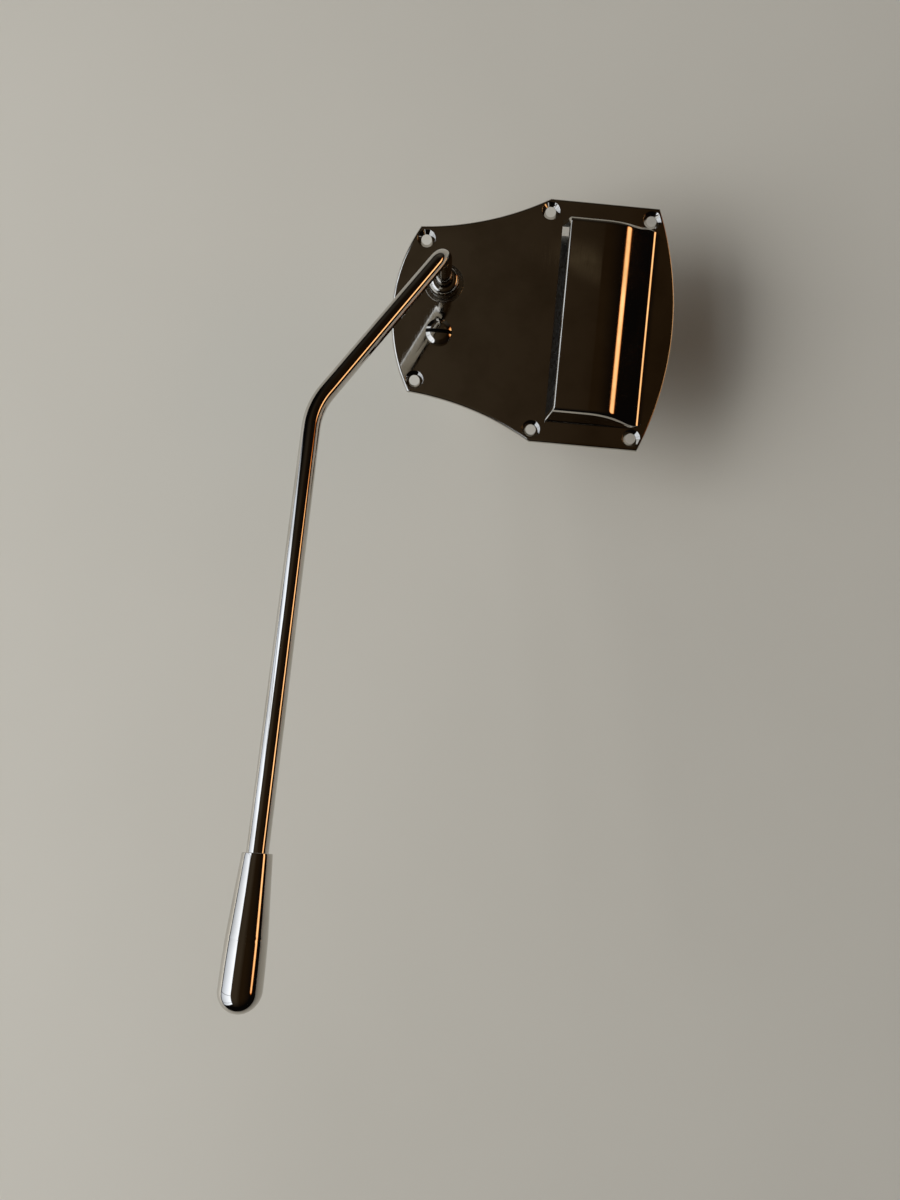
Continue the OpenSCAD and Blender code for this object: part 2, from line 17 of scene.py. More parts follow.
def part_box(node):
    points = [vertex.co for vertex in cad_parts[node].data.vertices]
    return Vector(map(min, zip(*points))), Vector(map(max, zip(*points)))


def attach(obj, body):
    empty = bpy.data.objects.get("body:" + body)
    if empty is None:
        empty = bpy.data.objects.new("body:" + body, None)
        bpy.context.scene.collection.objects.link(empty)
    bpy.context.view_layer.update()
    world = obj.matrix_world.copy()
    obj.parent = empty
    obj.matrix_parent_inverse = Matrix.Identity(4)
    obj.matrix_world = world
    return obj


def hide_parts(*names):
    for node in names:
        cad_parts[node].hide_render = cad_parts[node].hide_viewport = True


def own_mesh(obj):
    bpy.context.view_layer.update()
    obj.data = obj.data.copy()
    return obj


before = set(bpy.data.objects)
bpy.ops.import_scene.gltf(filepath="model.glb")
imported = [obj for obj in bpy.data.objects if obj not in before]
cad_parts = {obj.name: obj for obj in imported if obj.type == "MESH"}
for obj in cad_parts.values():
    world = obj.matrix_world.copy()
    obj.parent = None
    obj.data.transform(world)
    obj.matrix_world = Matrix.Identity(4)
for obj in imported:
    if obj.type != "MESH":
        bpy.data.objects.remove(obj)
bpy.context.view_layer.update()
MM = 0.001
merge_mm = 0.002


def box_mm(node):
    """Lowest and highest corner of a CAD node at rest, in millimetres."""
    low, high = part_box(node)
    return np.array(low) / MM, np.array(high) / MM


# %% [markdown]
# ## Camera
# The plate is seen almost square on, from just above the arm's side. A wide lens close to the object
# makes the near tip of the arm large and the plate small, so the lens matters as much as the place.

# %% Camera
camera_place = (-43.74, -91.30, 299.06)
camera_turn = (-2.050, -0.311, 5.157)
camera_data = bpy.data.cameras.new("camera")
camera_data.lens = 24.9
camera_data.sensor_width = 36
camera = bpy.data.objects.new("camera", camera_data)
bpy.context.scene.collection.objects.link(camera)
camera.location = Vector(camera_place) * MM
camera.rotation_euler = Euler([math.radians(a) for a in camera_turn])
bpy.context.scene.camera = camera
print("camera at", camera_place, "mm, lens", camera_data.lens, "mm")

# %% [markdown]
# ## Surfaces from numbers
# Every new piece is a set of grids. A grid is an array of points with rows and columns; its faces join
# neighbours. Grids that share an edge are merged into one closed mesh, and the normals are turned
# outwards once, at the end.


# %% Grid helpers
def grid_faces(rows, cols, wrap=False):
    """Quads of a grid of rows x cols points; with wrap the last column joins the first."""
    r = np.arange(rows - 1)[:, None]
    c = np.arange(cols if wrap else cols - 1)[None, :]
    n = (c + 1) % cols
    return np.stack([r * cols + c, r * cols + n, (r + 1) * cols + n, (r + 1) * cols + c], -1).reshape(-1, 4)


def patch(points, wrap=False):
    """A grid of points, shaped (rows, cols, 3) in millimetres, as (points, faces)."""
    points = np.asarray(points, float)
    return points.reshape(-1, 3), grid_faces(points.shape[0], points.shape[1], wrap).tolist()


def finish_mesh(name, patches, material, sharp=40, recess=None, recess_patches=()):
    """Joins patches into one mesh, in metres: merges shared points, drops empty faces, turns normals out,
    and shades it smooth except across edges sharper than the angle given in degrees. The patches whose
    numbers are in recess_patches get the recess material."""
    points, faces, finishes, start = [], [], [], 0
    for number, (p, f) in enumerate(patches):
        points.append(p)
        faces += [[start + i for i in face] for face in f]
        finishes += [int(number in recess_patches)] * len(f)
        start += len(p)
    mesh = bpy.data.meshes.new(name)
    mesh.from_pydata(np.concatenate(points) * MM, [], faces)
    mesh.polygons.foreach_set("material_index", finishes)
    bm = bmesh.new()
    bm.from_mesh(mesh)
    bmesh.ops.remove_doubles(bm, verts=bm.verts, dist=merge_mm * MM)
    bmesh.ops.dissolve_degenerate(bm, dist=1e-4 * MM, edges=bm.edges)
    bmesh.ops.recalc_face_normals(bm, faces=bm.faces)
    for face in bm.faces:
        face.smooth = True
    open_edges = sum(1 for e in bm.edges if len(e.link_faces) != 2)
    bm.to_mesh(mesh)
    bm.free()
    mesh.set_sharp_from_angle(angle=math.radians(sharp))
    mesh.materials.append(material)
    if recess:
        mesh.materials.append(recess)
    piece = bpy.data.objects.new(name, mesh)
    bpy.context.scene.collection.objects.link(piece)
    print(f"{name}: {len(mesh.polygons)} faces, {open_edges} open edges")
    return piece


def install(piece, body, *nodes, slot=None):
    """The piece rides on a body and stands for CAD nodes."""
    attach(piece, body)
    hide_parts(*nodes)
    return piece


def arc(centre, radius, start, end, steps):
    """Points on a circle in a plane, between two angles in degrees."""
    a = np.radians(np.linspace(start, end, steps + 1))
    return np.stack([centre[0] + radius * np.cos(a), centre[1] + radius * np.sin(a)], 1)


def revolve(profile, sides=96):
    """Turns a profile of (radius, height) rows round the Z axis: x = r cos a, y = r sin a, z = h."""
    profile = np.asarray(profile, float)
    a = np.linspace(0, 2 * math.pi, sides, endpoint=False)
    r, h = profile[:, 0][:, None], profile[:, 1][:, None]
    return np.stack([r * np.cos(a), r * np.sin(a), h + 0 * a], -1)


def turned(profile, centre=(0, 0), sides=96):
    """A revolved patch whose axis stands at a place in plan."""
    return patch(revolve(profile, sides) + [centre[0], centre[1], 0], wrap=True)


def soft_profile(corners, radius, steps=4, hold=0.06):
    """A closed profile with every corner rounded: near a corner the line is replaced by an arc of the given
    radius (limited by the sides), with one more point beside each arc so that flat faces stay flat."""
    corners = np.asarray(corners, float)
    out = []
    for i, c in enumerate(corners):
        a, b = corners[i - 1] - c, corners[(i + 1) % len(corners)] - c
        la, lb = np.linalg.norm(a), np.linalg.norm(b)
        a, b = a / la, b / lb
        half = math.acos(np.clip(a @ b, -1, 1)) / 2
        if half > math.radians(85):
            out.append(c)
            continue
        t = min(radius / math.tan(half), 0.4 * la, 0.4 * lb)
        rad = t * math.tan(half)
        middle = c + (a + b) / np.linalg.norm(a + b) * rad / math.sin(half)
        p, q = c + a * t, c + b * t
        p0, p1 = p - middle, q - middle
        turn = math.atan2(p0[0] * p1[1] - p0[1] * p1[0], p0 @ p1)
        ks = np.linspace(0, turn, steps + 1)
        across = np.array([-p0[1], p0[0]])
        ring = [middle + p0 * math.cos(k) + across * math.sin(k) for k in ks]
        out += [p + a * min(hold, 0.05 * la)] + ring + [q + b * min(hold, 0.05 * lb)]
    return np.array(out + [out[0]])


# %% [markdown]
# ## Chrome
# The visible pieces are steel with decorative chrome over polished nickel. It mirrors the room almost
# perfectly. What tells it from a perfect mirror is what hands leave: hairline scratches, each
# only a few micrometres wide, and faint cloudy smudges that make the reflection a little softer.
# Hairlines are drawn here about 0.1 mm wide, because the real width would never show.


# %% Node helpers
def srgb(hex_colour):
    """An sRGB hex colour as linear RGBA."""
    parts = [int(hex_colour[i : i + 2], 16) / 255 for i in (1, 3, 5)]
    linear = [c / 12.92 if c <= 0.04045 else ((c + 0.055) / 1.055) ** 2.4 for c in parts]
    return (*linear, 1.0)


def add(tree, kind, inputs=None, output=0, **settings):
    """Adds a node with its settings. Each input is linked if it is given an output, and set if it is given a
    value. Returns one of the node's outputs."""
    node = tree.nodes.new("ShaderNode" + kind)
    for key, value in settings.items():
        setattr(node, key, value)
    for key, value in (inputs or {}).items():
        if isinstance(value, bpy.types.NodeSocket):
            tree.links.new(value, node.inputs[key])
        else:
            node.inputs[key].default_value = value
    return node.outputs[output]


def start_material(name, base, metallic, roughness, **more):
    """A material with one Principled shader; the values that are the same all over sit on its own sockets."""
    material = bpy.data.materials.new(name)
    material.use_nodes = True
    tree = material.node_tree
    tree.nodes.clear()
    values = {"Base Color": srgb(base), "Metallic": metallic, "Roughness": roughness}
    values.update({key.replace("_", " "): value for key, value in more.items()})
    surface = add(tree, "BsdfPrincipled", values)
    add_output = tree.nodes.new("ShaderNodeOutputMaterial")
    tree.links.new(surface, add_output.inputs["Surface"])
    return material, tree, surface.node


def on_piece(tree, scale=(1, 1, 1), turn=(0, 0, 0)):
    """A piece's own coordinates, stretched and turned, so that a pattern stays fixed to the piece."""
    coords = add(tree, "TexCoord", output=3)
    return add(tree, "Mapping", {"Vector": coords, "Scale": scale, "Rotation": turn})


def drift(tree, base, tint, size, low):
    """A colour that drifts between two, in clouds of a size in metres; low sets how much keeps the first.
    Also returns the amount, from 0 to 1."""
    inputs = {"Vector": on_piece(tree), "Scale": 1 / size, "Detail": 4.0, "Roughness": 0.6}
    cloud = add(tree, "TexNoise", inputs)
    amount = add(tree, "MapRange", {"Value": cloud, "From Min": low, "From Max": 0.7})
    return add(tree, "Mix", {0: amount, 6: srgb(base), 7: srgb(tint)}, 2, data_type="RGBA"), amount


def finish_material(tree, shader, colour, gloss, bump):
    """Links the three patterns to the shader."""
    for key, value in {"Base Color": colour, "Roughness": gloss, "Normal": bump}.items():
        tree.links.new(value, shader.inputs[key])


# %% Chrome
def chrome(name, base, film, smooth, smudged, scratch_height):
    """Decorative chrome: a near mirror. In clouds of about 20 mm a thin film dulls the colour from base to
    film and softens the gloss from smooth to smudged; two crossing families of hairlines are a low bump."""
    material, tree, shader = start_material(name, base, 1.0, smooth)
    colour, amount = drift(tree, base, film, 0.02, 0.42)
    gloss = add(tree, "MapRange", {"Value": amount, "To Min": smooth, "To Max": smudged})
    hairlines = []
    for turn in (0.4, 1.9):
        stretched = on_piece(tree, scale=(1.0, 0.012, 0.03), turn=(0, 0, turn))
        lines = add(tree, "TexNoise", {"Vector": stretched, "Scale": 1 / 0.0001, "Detail": 1.0})
        hairlines.append(add(tree, "MapRange", {"Value": lines, "From Min": 0.66, "From Max": 0.72}))
    height = add(tree, "Math", {0: hairlines[0], 1: hairlines[1]}, operation="MAXIMUM")
    bump = add(tree, "Bump", {"Height": height, "Strength": 0.25, "Distance": scratch_height})
    finish_material(tree, shader, colour, gloss, bump)
    return material


plate_chrome = chrome("plate_chrome", "#cbc7c0", "#b3ada2", 0.03, 0.08, 2e-6)
arm_chrome = chrome("arm_chrome", "#d0cdc8", "#c0bbb3", 0.025, 0.055, 1e-6)
print("chrome", plate_chrome.name, arm_chrome.name)


# %% [markdown]
# ## Metals under the plate
# The works are never seen on a guitar, so they are finished cheaply: stamped steel with bright zinc,
# which looks milky and slightly blue, turned parts in dull nickel, an oiled black blade, a spring of
# drawn wire, and a sleeve of natural nylon. Chrome hardly reaches the inside of the hood, so that stays
# a dull nickel; its dark colour there is painted shade for the hollow.


# %% Works metals
def works_metal(name, base, tint, roughness, grain, grain_mm, spread, relief):
    """A plated or drawn metal: the colour drifts between base and tint in clouds of about 6 mm. A grain of
    grain_mm, stretched by grain, spreads the roughness and gives a relief in micrometres."""
    material, tree, shader = start_material(name, base, 1.0, roughness)
    colour, _ = drift(tree, base, tint, 0.006, 0.35)
    fine_inputs = {"Vector": on_piece(tree, grain), "Scale": 1 / (grain_mm * MM), "Detail": 2.0}
    fine = add(tree, "TexNoise", fine_inputs)
    low, high = roughness - spread, roughness + spread
    steps = {"From Min": 0.3, "From Max": 0.7, "To Min": low, "To Max": high}
    gloss = add(tree, "MapRange", {"Value": fine, **steps})
    bump = add(tree, "Bump", {"Height": fine, "Strength": 0.3, "Distance": relief * 1e-6})
    finish_material(tree, shader, colour, gloss, bump)
    return material


zinc = works_metal("bright_zinc", "#b4b8bd", "#a3a8b2", 0.32, (1, 0.15, 1), 0.25, 0.07, 8)
screw_zinc = works_metal("screw_zinc", "#b9bbb8", "#a8a89c", 0.28, (1, 1, 1), 0.2, 0.06, 6)
dull_nickel = works_metal("dull_nickel", "#b5afa4", "#9f9a90", 0.26, (0.2, 1, 1), 0.25, 0.06, 6)
black_steel = works_metal("oiled_steel", "#5b5c5e", "#474849", 0.36, (1, 1, 1), 0.3, 0.08, 8)
# Inside the hood: dull nickel whose dark base colour is painted shade for the hollow.
painted_shade_recess_nickel = works_metal("painted_shade_recess_nickel", "#5f5a52", "#4d4942", 0.42, (1, 1, 1), 0.4, 0.07, 5)
# A near-black metal for the screw's slot: painted shade inside the slot.
slot_painted_shade = works_metal("slot_painted_shade", "#2b2926", "#1f1d1b", 0.5, (1, 1, 1), 0.3, 0.07, 8)
drawn_wire = works_metal("spring_wire", "#7c7d80", "#6a6a6c", 0.3, (1, 1, 1), 0.2, 0.08, 6)


# %% Nylon
def natural_nylon():
    """Natural nylon: milky, slightly translucent white with a soft, uneven shine from the mould."""
    material, tree, shader = start_material(
        "natural_nylon", "#dedacb", 0.0, 0.42, IOR=1.53, Subsurface_Weight=0.15,
    )
    fine = add(tree, "TexNoise", {"Vector": on_piece(tree), "Scale": 1 / 0.0008, "Detail": 2.0})
    steps = {"From Min": 0.3, "From Max": 0.7, "To Min": 0.36, "To Max": 0.5}
    gloss = add(tree, "MapRange", {"Value": fine, **steps})
    tone = add(tree, "Mix", {0: fine, 6: srgb("#e2decf"), 7: srgb("#d4cfbd")}, 2, data_type="RGBA")
    tree.links.new(gloss, shader.inputs["Roughness"])
    tree.links.new(tone, shader.inputs["Base Color"])
    return material


nylon = natural_nylon()
print("works metals ready")

# %% [markdown]
# ## The plate and its hood
# The plate is pressed from one sheet. The hood is not a box on top: the sheet is slit along the hood's
# front and pushed up, so the walls flow into the plate through small fillets, and the back falls in a
# long S. It is made as a loft: at each station along the plate a cross-section is drawn - margin, fillet,
# leaning wall, rounded edge, roof - and the roof's height follows the S. The same loft with smaller
# numbers makes the hollow inside.

# %% Plate sizes
plate_low, plate_high = box_mm("mounting_plate")
plate_t = 1.5
neck_x, neck_w = 63.2, 58.4
shoulder_x = 18.3
rear_x = 20.5
neck_bulge = -plate_low[0] - neck_x
rear_bulge = plate_high[0] - rear_x
plate_w = plate_high[1] - plate_low[1]
waist_sag = 2.6
rear_holes = np.array([(sx * 35.9 / 2, sy * 76.9 / 2) for sx in (-1, 1) for sy in (-1, 1)])
neck_holes = np.array([(-60.9, sy * 49.6 / 2) for sy in (-1, 1)])
hole_r, countersink_r, countersink_depth = 1.85, 3.15, 1.15
roof_z = plate_high[2]
hood_h = roof_z - plate_t
front_x, rim_lean = -13.4, 1.7
hood_half, end_lean, edge_r, base_fillet = 35.1, 2.1, 2.3, 0.8
hood_rear, slope, shoulder_r, foot_r, plan_r = 22.4, 35, 18, 6.5, 7
wall = 1.3
plate_length = plate_high[0] - plate_low[0]
print("plate", plate_w.round(2), "wide,", plate_length.round(2), "long, hood", hood_h, "high")


# %% Plate outline
def arc_through(a, b, sag, steps):
    """Points from a to b along an arc that bows to the left of a-b by sag (to the right if negative)."""
    a, b = np.array(a, float), np.array(b, float)
    half = np.linalg.norm(b - a) / 2
    along = (b - a) / (2 * half)
    left = np.array([-along[1], along[0]])
    radius = (half * half + sag * sag) / (2 * abs(sag))
    reach = math.asin(half / radius)
    k = np.linspace(-reach, reach, steps + 1)[:, None]
    bow = radius * (np.cos(k) - math.cos(reach)) * math.copysign(1, sag)
    return (a + b) / 2 + along * radius * np.sin(k) + left * bow


def plate_outline():
    """The outline anticlockwise: two bowed ends, two straight flanks, two hollow waists."""
    n, s, w = neck_w / 2, -shoulder_x, plate_w / 2
    parts = [
        arc_through((-neck_x, -n), (s, -w), waist_sag, 40),
        arc_through((rear_x, -w), (rear_x, w), -rear_bulge, 72),
        arc_through((s, w), (-neck_x, n), waist_sag, 40),
        arc_through((-neck_x, n), (-neck_x, -n), -neck_bulge, 56)[1:-1],
    ]
    return np.concatenate(parts)


def inset(loop, distance):
    """Moves an anticlockwise closed loop inwards, with mitred corners."""
    edge = np.roll(loop, -1, 0) - loop
    edge /= np.linalg.norm(edge, axis=1)[:, None]
    inward = np.stack([-edge[:, 1], edge[:, 0]], 1)
    before = np.roll(inward, 1, 0)
    move = (inward + before) / (1 + (inward * before).sum(1))[:, None]
    return loop + move * distance


outline = plate_outline()
print("outline points", len(outline))


# %% Hood profile and cross-section
def s_profile(shift):
    """The hood's side profile from the roof to its foot as (x, z), moved inwards by shift along its normal:
    flat roof, convex shoulder, straight slope, concave foot."""
    drop = hood_h - (shoulder_r + foot_r) * (1 - math.cos(math.radians(slope)))
    run = drop / math.tan(math.radians(slope))
    roof_end = hood_rear - (shoulder_r + foot_r) * math.sin(math.radians(slope)) - run
    shoulder = arc((roof_end, roof_z - shoulder_r), shoulder_r - shift, 90, 90 - slope, 24)
    foot = arc((hood_rear, plate_t + foot_r), foot_r + shift, 270 - slope, 270, 20)
    return roof_end, np.concatenate([[(front_x - 5, roof_z - shift)], shoulder, foot])


roof_end, outer_side = s_profile(0)
_, inner_side = s_profile(wall)


def section(half, top, floor, lean, edge, fillet, margin):
    """Half of a cross-section as (y, z), from the foot to the middle: a narrow flat margin, concave fillet,
    wall that leans in by the angle, convex edge, flat roof. The radii shrink where the hood is low."""
    high = max(top - floor, 1e-4)
    edge, fillet = min(edge, 0.5 * high), min(fillet, 0.08 * high)
    tilt = math.radians(lean)
    foot_y = half + fillet * (1 - math.sin(tilt)) / math.cos(tilt)
    edge_y = half - (edge + math.sin(tilt) * (high - edge)) / math.cos(tilt)
    base = arc((foot_y, floor + fillet), fillet, 270, 180 + lean, 8)
    crown = arc((edge_y, top - edge), edge, lean, 90, 12)
    flat = [(foot_y + k * margin, floor) for k in (1.0, 0.5, 0.2)]
    rise = [base[-1] + (crown[0] - base[-1]) * k for k in (0.05, 0.35, 0.65, 0.95)]
    reach = [(edge_y * k, top) for k in (0.985, 0.9, 0.75, 0.5, 0.25, 0.0)]
    return np.concatenate([flat, base, rise, crown, reach])


def stations():
    """Places along the plate where a cross-section is drawn, closest where the profile curves."""
    front = front_x + np.array([0, 0.3, 1.0, 2.5, 4.5, 7, 10])
    shoulder = outer_side[1:26, 0]
    slope_run = np.linspace(outer_side[25, 0], outer_side[26, 0], 8)[1:-1]
    foot = outer_side[26:, 0]
    return np.concatenate([front, shoulder, slope_run, foot])


def loft(side, floor, inward, edge, fillet, margin):
    """The hood's skin: for each station a full cross-section, leaning back near the open front in step with
    its height: x = station + lean * height / hood height."""
    rows = []
    lean = math.degrees(math.atan(end_lean / hood_h))
    for x in stations():
        top = float(np.interp(x, side[:, 0], side[:, 1]))
        round_start = hood_rear + 1 - plan_r
        over = max(0.0, x - round_start)
        half = hood_half - plan_r + math.sqrt(plan_r * plan_r - over * over) - inward
        yz = section(half, max(top, floor), floor, lean, edge, fillet, margin)
        full = np.concatenate([yz, (yz * [-1, 1])[::-1][1:]])
        shear = rim_lean * max(0.0, 1 - (x - front_x) / 9)
        height = np.clip((full[:, 1] - plate_t) / hood_h, 0, 1)
        rows.append(np.stack([x + shear * height, full[:, 0], full[:, 1]], 1))
    return np.array(rows)


margin = 0.06
skin = loft(outer_side, plate_t, 0.0, edge_r, base_fillet, margin)
hollow = loft(inner_side, 0.0, wall, 0.35, 1.2, margin)
hollow = np.concatenate([hollow, hollow[-1:] * [1, 1, 0]])
print("hood skin", skin.shape, "hollow", hollow.shape)


# %% The rim's rounded cut edge
def rounded_rim(skin, radius, steps):
    """Rows that roll the skin's first row over the cut edge. Each point moves back by radius (1 - cos a) and
    in along the section's normal by radius (1 - sin a); the roll fades out at the plate."""
    row = skin[0]
    run = np.gradient(row[:, 1:], axis=0)
    run /= np.maximum(np.linalg.norm(run, axis=1), 1e-9)[:, None]
    normal = np.stack([-run[:, 1], run[:, 0]], 1)
    normal *= np.sign((normal * [[0, 1]]).sum(1) + 1e-3 * np.sign(row[:, 1]) * normal[:, 0])[:, None]
    outward = np.where((normal[:, 1] < 0)[:, None], -normal, normal)
    fade = np.clip((row[:, 2] - plate_t) / 1.5, 0, 1)
    rows = []
    for a in np.radians(np.linspace(0, 90, steps + 1)):
        moved = row.copy()
        moved[:, 1:] -= outward * (fade * radius * (1 - math.sin(a)))[:, None]
        moved[:, 0] += fade * radius * (1 - math.cos(a))
        rows.append(moved)
    return np.array(rows)


rim = rounded_rim(skin, 0.45, 6)
skin = np.concatenate([rim[:-1], skin[1:]])
skin[len(rim) - 1 :, :, 0] = np.maximum(skin[len(rim) - 1 :, :, 0], rim[-1][None, :, 0])
print("rim rows", len(rim))


# %% Flat faces with holes
def border(grid):
    """The outer points of a grid in order, with the front row left out between its two flat margins."""
    front = 3
    first, last = grid[0], grid[-1]
    return np.concatenate([
        first[:front][::-1], grid[1:-1, 0], last, grid[1:-1, -1][::-1], first[-front:][::-1],
    ])


def flat_face(outer, holes, z):
    """A flat face at one height between an outer loop and holes, as triangles."""
    loops = [[Vector((p[0], p[1], 0)) for p in loop] for loop in [outer, *holes]]
    points = np.concatenate([np.asarray(loop)[:, :2] for loop in [outer, *holes]])
    faces = [list(t) for t in tessellate_polygon(loops)]
    return np.column_stack([points, np.full(len(points), z)]), faces


def circle(centre, radius, sides=96):
    """A closed ring of points in plan."""
    a = np.linspace(0, 2 * math.pi, sides, endpoint=False)
    return np.stack([centre[0] + radius * np.cos(a), centre[1] + radius * np.sin(a)], 1)


def rim_walls(loop, profile):
    """Carries a profile of (inset, height) round an outline."""
    rows = [np.column_stack([inset(loop, d), np.full(len(loop), z)]) for d, z in profile]
    return patch(np.array(rows), wrap=True)


edge_round = 1.0
plate_edge = [(edge_round + 0.1, plate_t), (edge_round, plate_t)]
plate_edge += [
    (edge_round * (1 - math.sin(a)), plate_t - edge_round * (1 - math.cos(a)))
    for a in np.radians(np.arange(15, 91, 15))
]
plate_edge += [(0, plate_t - edge_round - 0.1), (0, 0.25), (0.06, 0.07), (0.2, 0), (0.4, 0)]

cone_edge = [(0.1, 0), (0.06, 0), (0.02, 0.015), (-0.04, 0.07), (-0.1, 0.13)]
cone_end = [(0.06, countersink_depth - 0.02), (0, countersink_depth + 0.05)]
screw_wall = [(countersink_r + out, plate_t - down) for out, down in cone_edge]
screw_wall += [(hole_r + out, plate_t - down) for out, down in cone_end]
screw_wall += [(hole_r, 0.08), (hole_r + 0.08, 0), (hole_r + 0.3, 0)]

socket_x, socket_y = (sum(box_mm("socket_body")[i][k] for i in (0, 1)) / 2 for k in (0, 1))
screw_x, screw_y = (sum(box_mm("tension_screw")[i][k] for i in (0, 1)) / 2 for k in (0, 1))
socket_hole_r, tension_hole_r = 6.8, 2.54


def plain_wall(radius):
    """Profile of a punched hole with slightly broken edges."""
    upper = [(0.5, 0), (0.2, 0), (0.08, 0.03), (0.02, 0.1), (0, 0.2)]
    return [(radius + out, plate_t - down) for out, down in upper] + [
        (radius, 0.1), (radius + 0.1, 0), (radius + 0.3, 0),
    ]


# %% The pressed plate
def pressed_plate():
    """Skin, hollow, flats, edges and holes of the plate, joined into one closed sheet."""
    spots = [(h, screw_wall) for h in np.concatenate([rear_holes, neck_holes])]
    spots.append(((socket_x, socket_y), plain_wall(socket_hole_r)))
    spots.append(((screw_x, screw_y), plain_wall(tension_hole_r)))
    patches = [patch(skin), patch(hollow), rim_walls(outline, plate_edge)]
    patches += [turned(profile, centre) for centre, profile in spots]
    for grid, z, d, end in ((skin, plate_t, plate_edge[0][0], 0), (hollow, 0.0, plate_edge[-1][0], -1)):
        holes = [circle(c, p[end][0]) for c, p in spots] + [border(grid)]
        patches.append(flat_face(inset(outline, d), holes, z))
    patches.append(patch(np.array([skin[0][2:-2], hollow[0][2:-2]])))
    lip = np.array([skin[0][2], skin[0][-3]])
    under = np.array([hollow[0][2], hollow[0][-3]])
    patches.append(patch(np.array([lip, under])))
    # The hollow under the hood gets dull nickel whose dark colour is painted shade.
    hollow_number = 1
    return finish_mesh("pressed_plate", patches, plate_chrome, 38, painted_shade_recess_nickel, (hollow_number,))


install(pressed_plate(), "base", "mounting_plate", slot="chrome_plate")

# %% [markdown]
# ## The arm
# The arm is one drawn rod: up out of its socket, over a tight bend, out along the first limb, round a wide
# knee and on to the tip. Its centre line is three straight lines and two arcs. A circle is carried along it,
# and the circle's own axes are carried too, without twist.

# %% Arm path
rod_r = 5.55 / 2
arm_rise = 26.6
limb1_turn, limb1_climb, limb1_len = 239.65, 20.2, 70.4
limb2_turn, limb2_climb, limb2_len = 271.5, 20.5, 125.8
bend1_r, bend2_r = 6.5, 26.0


def heading(turn, climb):
    """Unit direction from a turn in plan and a climb, in degrees."""
    t, c = math.radians(turn), math.radians(climb)
    return np.array([math.cos(c) * math.cos(t), math.cos(c) * math.sin(t), math.sin(c)])


up = np.array([0.0, 0.0, 1.0])
limb1, limb2 = heading(limb1_turn, limb1_climb), heading(limb2_turn, limb2_climb)
corner1 = np.array([socket_x, socket_y, plate_t + arm_rise])
corner2 = corner1 + limb1 * limb1_len
tip_mouth = corner2 + limb2 * limb2_len


def bend(corner, before, after, radius, steps):
    """Points of the arc of given radius that rounds a corner between two directions."""
    angle = math.acos(before @ after)
    start = corner - before * radius * math.tan(angle / 2)
    side = after - before * (before @ after)
    side /= np.linalg.norm(side)
    k = np.linspace(0, angle, steps + 1)[:, None]
    return start + radius * (before * np.sin(k) + side * (1 - np.cos(k)))


def straight(a, b, steps):
    """Points between two points, ends left out."""
    return a + (b - a) * np.linspace(0, 1, steps + 2)[1:-1, None]


def sweep(path, radii, sides=64):
    """Carries a circle along a path: at each point the ring is p + r (u cos a + v sin a), and u and v are the
    previous ones with the part along the new direction taken off."""
    tangent = np.gradient(path, axis=0)
    tangent /= np.linalg.norm(tangent, axis=1)[:, None]
    u = np.cross(tangent[0], [1.0, 0.3, 0.1])
    a = np.linspace(0, 2 * math.pi, sides, endpoint=False)[:, None]
    rings = []
    for p, t, r in zip(path, tangent, radii):
        u = u - t * (u @ t)
        u /= np.linalg.norm(u)
        rings.append(p + r * (u * np.cos(a) + np.cross(t, u) * np.sin(a)))
    return np.array(rings)


stub_end = box_mm("arm_rod")[0][2]
foot_point = np.array([socket_x, socket_y, stub_end])
bend1 = bend(corner1, up, limb1, bend1_r, 32)
bend2 = bend(corner2, limb1, limb2, bend2_r, 32)
rod_end = tip_mouth + limb2 * 15.5
rod_path = np.concatenate([
    [foot_point, foot_point + up * 0.02, foot_point + up * 0.6],
    straight(foot_point + up * 0.6, bend1[0], 8), bend1,
    straight(bend1[-1], bend2[0], 24), bend2,
    straight(bend2[-1], rod_end, 40), [rod_end - limb2 * 0.02, rod_end],
])
rod_radii = np.full(len(rod_path), rod_r)
rod_radii[:3] = 0.001, rod_r - 0.6, rod_r
rod_radii[-1] = 0.001
rod_piece = finish_mesh("bent_rod", [patch(sweep(rod_path, rod_radii), wrap=True)], arm_chrome, sharp=50)
install(rod_piece, "arm", "arm_rod", slot="chrome_arm")

# %% [markdown]
# ## The tip
# A turned bullet: a small flat mouth, a long taper, a fine line where the taper ends, a barrel that
# still swells a little, and a half-round end. The line is a real groove, a few hundredths deep.

# %% Tip
tip_len, tip_mouth_r, tip_taper_r, tip_r, tip_taper_len = 36.0, 3.8, 5.1, 5.3, 19.5


def tip_profile():
    """Radius and distance from the mouth, from the bore round to the end's pole."""
    bore = [(rod_r + 0.02, 2.0), (rod_r + 0.02, 0.15), (rod_r + 0.1, 0.03), (rod_r + 0.22, 0.0)]
    mouth = [(tip_mouth_r - 0.3, 0.0), *arc((tip_mouth_r - 0.16, 0.16), 0.16, 270, 356, 5)]
    s = np.linspace(0.6, tip_taper_len - 0.25, 24)
    taper = np.column_stack([tip_mouth_r + (tip_taper_r - tip_mouth_r) * s / tip_taper_len, s])
    groove = [(tip_taper_r - 0.045, tip_taper_len), (tip_taper_r, tip_taper_len + 0.22)]
    s = np.linspace(0.08, 1, 14)
    barrel_end = tip_len - tip_r
    swell = tip_taper_r + (tip_r - tip_taper_r) * np.sin(s * math.pi / 2)
    barrel = np.column_stack([swell, tip_taper_len + (barrel_end - tip_taper_len) * s])
    end = arc((0, barrel_end), tip_r, 0, 90, 24)[1:]
    end[-1, 0] = 0.0005
    return np.concatenate([bore, mouth, taper, groove, barrel, end])


def along_axis(points, origin, axis):
    """Turns points whose Z is the axis so that they stand at origin and point along axis."""
    side = np.cross(up, axis)
    side /= np.linalg.norm(side)
    return origin + points[..., :1] * side + points[..., 1:2] * np.cross(axis, side) + points[..., 2:] * axis


